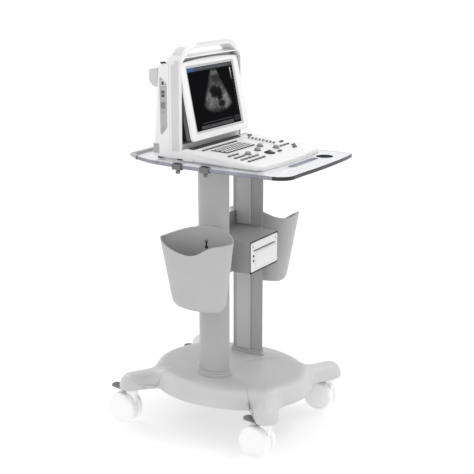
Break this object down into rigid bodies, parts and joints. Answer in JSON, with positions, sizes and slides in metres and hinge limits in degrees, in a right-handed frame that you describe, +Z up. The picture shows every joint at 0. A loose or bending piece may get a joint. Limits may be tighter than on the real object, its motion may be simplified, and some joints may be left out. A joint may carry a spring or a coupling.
{
  "type": "ultrasound machine",
  "caption": "Portable ultrasound machine with tilting screen and fold-up control panel, on a wheeled trolley with clear tray, side baskets and printer.",
  "frame": {"origin": "on the floor, midway between the two columns (below the middle of the trolley)", "axes": "+Z up, +X to the operator's right, -Y towards the operator"},
  "size_m": [0.4972, 0.6292, 1.175],
  "materials": {
    "base_plastic": "satin moulded",
    "frame_steel": "powder coat",
    "column_paint": "satin powder coat",
    "strip_plastic": "satin",
    "clear_acrylic": "polished clear",
    "rail_metal": "satin",
    "clip_chrome": "polished",
    "basket_plastic": "satin moulded",
    "screw_steel": "brushed",
    "housing_paint": "powder coat",
    "dark_plastic": "matte",
    "printer_plastic": "satin",
    "paper_white": "paper",
    "white_plastic": "satin",
    "grey_plastic": "satin",
    "port_plastic": "matte",
    "rubber_black": "matte",
    "board_green": "satin",
    "lcd_glass": "lit panel",
    "hinge_grey": "matte",
    "key_grey": "matte",
    "ball_dark": "polished",
    "knob_grey": "satin",
    "caster_white": "satin",
    "pedal_grey": "matte"
  },
  "bodies": {
    "trolley": {"base_cover": "base_plastic", "base_frame": "frame_steel", "ballast_plate": "frame_steel", "column_left": "column_paint", "column_right": "column_paint", "column_collars": "base_plastic", "column_cover_strips": "strip_plastic", "tray_support_plate": "frame_steel", "tray": "clear_acrylic", "tray_rear_rail": "rail_metal", "tray_clips": "clip_chrome", "basket_left": "basket_plastic", "basket_right": "basket_plastic", "fasteners": "screw_steel", "printer_housing": "housing_paint", "printer_chassis": "dark_plastic", "printer_front": "printer_plastic", "main_housing": "white_plastic", "front_frame": "white_plastic", "side_port_panel": "grey_plastic", "side_ports": "port_plastic", "probe_connector": "grey_plastic", "rubber_feet": "rubber_black", "main_board": "board_green", "battery_pack": "dark_plastic", "keyboard_hinge_pin": "screw_steel"},
    "caster_fl": {"caster_fl_fork": "caster_white"},
    "wheels_fl": {"caster_fl_wheels": "caster_white"},
    "pedal_fl": {"caster_fl_pedal": "pedal_grey"},
    "caster_fr": {"caster_fr_fork": "caster_white"},
    "wheels_fr": {"caster_fr_wheels": "caster_white"},
    "pedal_fr": {"caster_fr_pedal": "pedal_grey"},
    "caster_rl": {"caster_rl_fork": "caster_white"},
    "wheels_rl": {"caster_rl_wheels": "caster_white"},
    "pedal_rl": {"caster_rl_pedal": "pedal_grey"},
    "caster_rr": {"caster_rr_fork": "caster_white"},
    "wheels_rr": {"caster_rr_wheels": "caster_white"},
    "pedal_rr": {"caster_rr_pedal": "pedal_grey"},
    "keyboard": {"keyboard_top_shell": "white_plastic", "keyboard_bottom_shell": "white_plastic", "keyboard_hinge_barrel": "hinge_grey"},
    "screen_hinge": {"screen_hinge_shaft": "screw_steel"},
    "screen": {"screen_bezel": "white_plastic", "screen_back_cover": "white_plastic", "lcd_panel": "lcd_glass"},
    "function_keys": {"function_keys": "key_grey"},
    "letter_keys": {"letter_keys": "key_grey"},
    "control_keys": {"control_keys": "key_grey"},
    "oval_keys": {"oval_keys": "dark_plastic"},
    "trackball": {"trackball": "ball_dark"},
    "gain_sliders": {"gain_sliders": "key_grey"},
    "gain_knob": {"gain_knob": "knob_grey"},
    "depth_knob": {"depth_knob": "knob_grey"},
    "menu_knob": {"menu_knob": "knob_grey"},
    "zoom_knob": {"zoom_knob": "knob_grey"},
    "printer_door": {"printer_door": "printer_plastic"},
    "paper_roll": {"printer_paper_roll": "paper_white"},
    "printer_power_button": {"printer_power_button": "dark_plastic"},
    "printer_feed_button": {"printer_feed_button": "dark_plastic"},
    "probe_latch": {"probe_latch": "dark_plastic"}
  },
  "joints": [
    {"name": "swivel_fl", "type": "hinge", "parent": "trolley", "child": "caster_fl", "pos_m": [-0.202, -0.24, 0.13], "axis": [0, 0, 1], "continuous": true},
    {"name": "roll_fl", "type": "hinge", "parent": "caster_fl", "child": "wheels_fl", "pos_m": [-0.202, -0.212, 0.05], "axis": [1, 0, 0], "continuous": true},
    {"name": "brake_fl", "type": "hinge", "parent": "caster_fl", "child": "pedal_fl", "pos_m": [-0.202, -0.227, 0.1095], "axis": [-1, 0, 0], "range_deg": [0, 16]},
    {"name": "swivel_fr", "type": "hinge", "parent": "trolley", "child": "caster_fr", "pos_m": [0.202, -0.24, 0.13], "axis": [0, 0, 1], "continuous": true},
    {"name": "roll_fr", "type": "hinge", "parent": "caster_fr", "child": "wheels_fr", "pos_m": [0.202, -0.212, 0.05], "axis": [1, 0, 0], "continuous": true},
    {"name": "brake_fr", "type": "hinge", "parent": "caster_fr", "child": "pedal_fr", "pos_m": [0.202, -0.227, 0.1095], "axis": [-1, 0, 0], "range_deg": [0, 16]},
    {"name": "swivel_rl", "type": "hinge", "parent": "trolley", "child": "caster_rl", "pos_m": [-0.202, 0.24, 0.13], "axis": [0, 0, 1], "continuous": true},
    {"name": "roll_rl", "type": "hinge", "parent": "caster_rl", "child": "wheels_rl", "pos_m": [-0.202, 0.268, 0.05], "axis": [1, 0, 0], "continuous": true},
    {"name": "brake_rl", "type": "hinge", "parent": "caster_rl", "child": "pedal_rl", "pos_m": [-0.202, 0.253, 0.1095], "axis": [-1, 0, 0], "range_deg": [0, 16]},
    {"name": "swivel_rr", "type": "hinge", "parent": "trolley", "child": "caster_rr", "pos_m": [0.202, 0.24, 0.13], "axis": [0, 0, 1], "continuous": true},
    {"name": "roll_rr", "type": "hinge", "parent": "caster_rr", "child": "wheels_rr", "pos_m": [0.202, 0.268, 0.05], "axis": [1, 0, 0], "continuous": true},
    {"name": "brake_rr", "type": "hinge", "parent": "caster_rr", "child": "pedal_rr", "pos_m": [0.202, 0.253, 0.1095], "axis": [-1, 0, 0], "range_deg": [0, 16]},
    {"name": "keyboard_fold", "type": "hinge", "parent": "trolley", "child": "keyboard", "pos_m": [0, 0.0485, 0.864], "axis": [-1, 0, 0], "range_deg": [0, 94.9]},
    {"name": "screen_stow", "type": "hinge", "parent": "trolley", "child": "screen_hinge", "pos_m": [0, 0.09116, 1.1142], "axis": [1, 0, 0], "range_deg": [0, 11.7]},
    {"name": "screen_tilt", "type": "hinge", "parent": "screen_hinge", "child": "screen", "pos_m": [0, 0.09116, 1.1142], "axis": [1, 0, 0], "range_deg": [-18, 0]},
    {"name": "press_function_keys", "type": "slide", "parent": "keyboard", "child": "function_keys", "axis": [0, 0.0892, -0.996], "range_m": [0, 0.0015], "stiffness_N_per_m": 600, "springref_m": -0.0005},
    {"name": "press_letter_keys", "type": "slide", "parent": "keyboard", "child": "letter_keys", "axis": [0, 0.0892, -0.996], "range_m": [0, 0.0015], "stiffness_N_per_m": 600, "springref_m": -0.0005},
    {"name": "press_control_keys", "type": "slide", "parent": "keyboard", "child": "control_keys", "axis": [0, 0.0892, -0.996], "range_m": [0, 0.0015], "stiffness_N_per_m": 600, "springref_m": -0.0005},
    {"name": "press_oval_keys", "type": "slide", "parent": "keyboard", "child": "oval_keys", "axis": [0, 0.0892, -0.996], "range_m": [0, 0.0015], "stiffness_N_per_m": 600, "springref_m": -0.0005},
    {"name": "trackball_roll", "type": "hinge", "parent": "keyboard", "child": "trackball", "pos_m": [-0.008, -0.13564, 0.86028], "axis": [1, 0, 0], "continuous": true},
    {"name": "slide_gain_sliders", "type": "slide", "parent": "keyboard", "child": "gain_sliders", "axis": [1, 0, 0], "range_m": [-0.012, 0.012]},
    {"name": "turn_gain_knob", "type": "hinge", "parent": "keyboard", "child": "gain_knob", "pos_m": [0.042, -0.074, 0.86982], "axis": [0, -0.0892, 0.996], "continuous": true},
    {"name": "turn_depth_knob", "type": "hinge", "parent": "keyboard", "child": "depth_knob", "pos_m": [-0.01, -0.096, 0.86785], "axis": [0, -0.0892, 0.996], "continuous": true},
    {"name": "turn_menu_knob", "type": "hinge", "parent": "keyboard", "child": "menu_knob", "pos_m": [0.063, -0.117, 0.86597], "axis": [0, -0.0892, 0.996], "continuous": true},
    {"name": "turn_zoom_knob", "type": "hinge", "parent": "keyboard", "child": "zoom_knob", "pos_m": [-0.076, -0.103, 0.86722], "axis": [0, -0.0892, 0.996], "continuous": true},
    {"name": "printer_door_open", "type": "hinge", "parent": "trolley", "child": "printer_door", "pos_m": [0.0115, -0.112, 0.5245], "axis": [1, 0, 0], "range_deg": [0, 88]},
    {"name": "paper_roll_spin", "type": "hinge", "parent": "trolley", "child": "paper_roll", "pos_m": [0.008, -0.078, 0.545], "axis": [1, 0, 0], "continuous": true},
    {"name": "press_printer_power", "type": "slide", "parent": "trolley", "child": "printer_power_button", "axis": [0, 1, 0], "range_m": [0, 0.0015], "stiffness_N_per_m": 500, "springref_m": -0.0005},
    {"name": "press_printer_feed", "type": "slide", "parent": "trolley", "child": "printer_feed_button", "axis": [0, 1, 0], "range_m": [0, 0.0015], "stiffness_N_per_m": 500, "springref_m": -0.0005},
    {"name": "probe_latch_turn", "type": "hinge", "parent": "trolley", "child": "probe_latch", "pos_m": [-0.147, 0.136, 1.118], "axis": [0, 0, -1], "range_deg": [0, 90]}
  ],
  "couplings": [
    {"joint": "screen_stow", "follows": "keyboard_fold", "ratio": 0.12328}
  ]
}
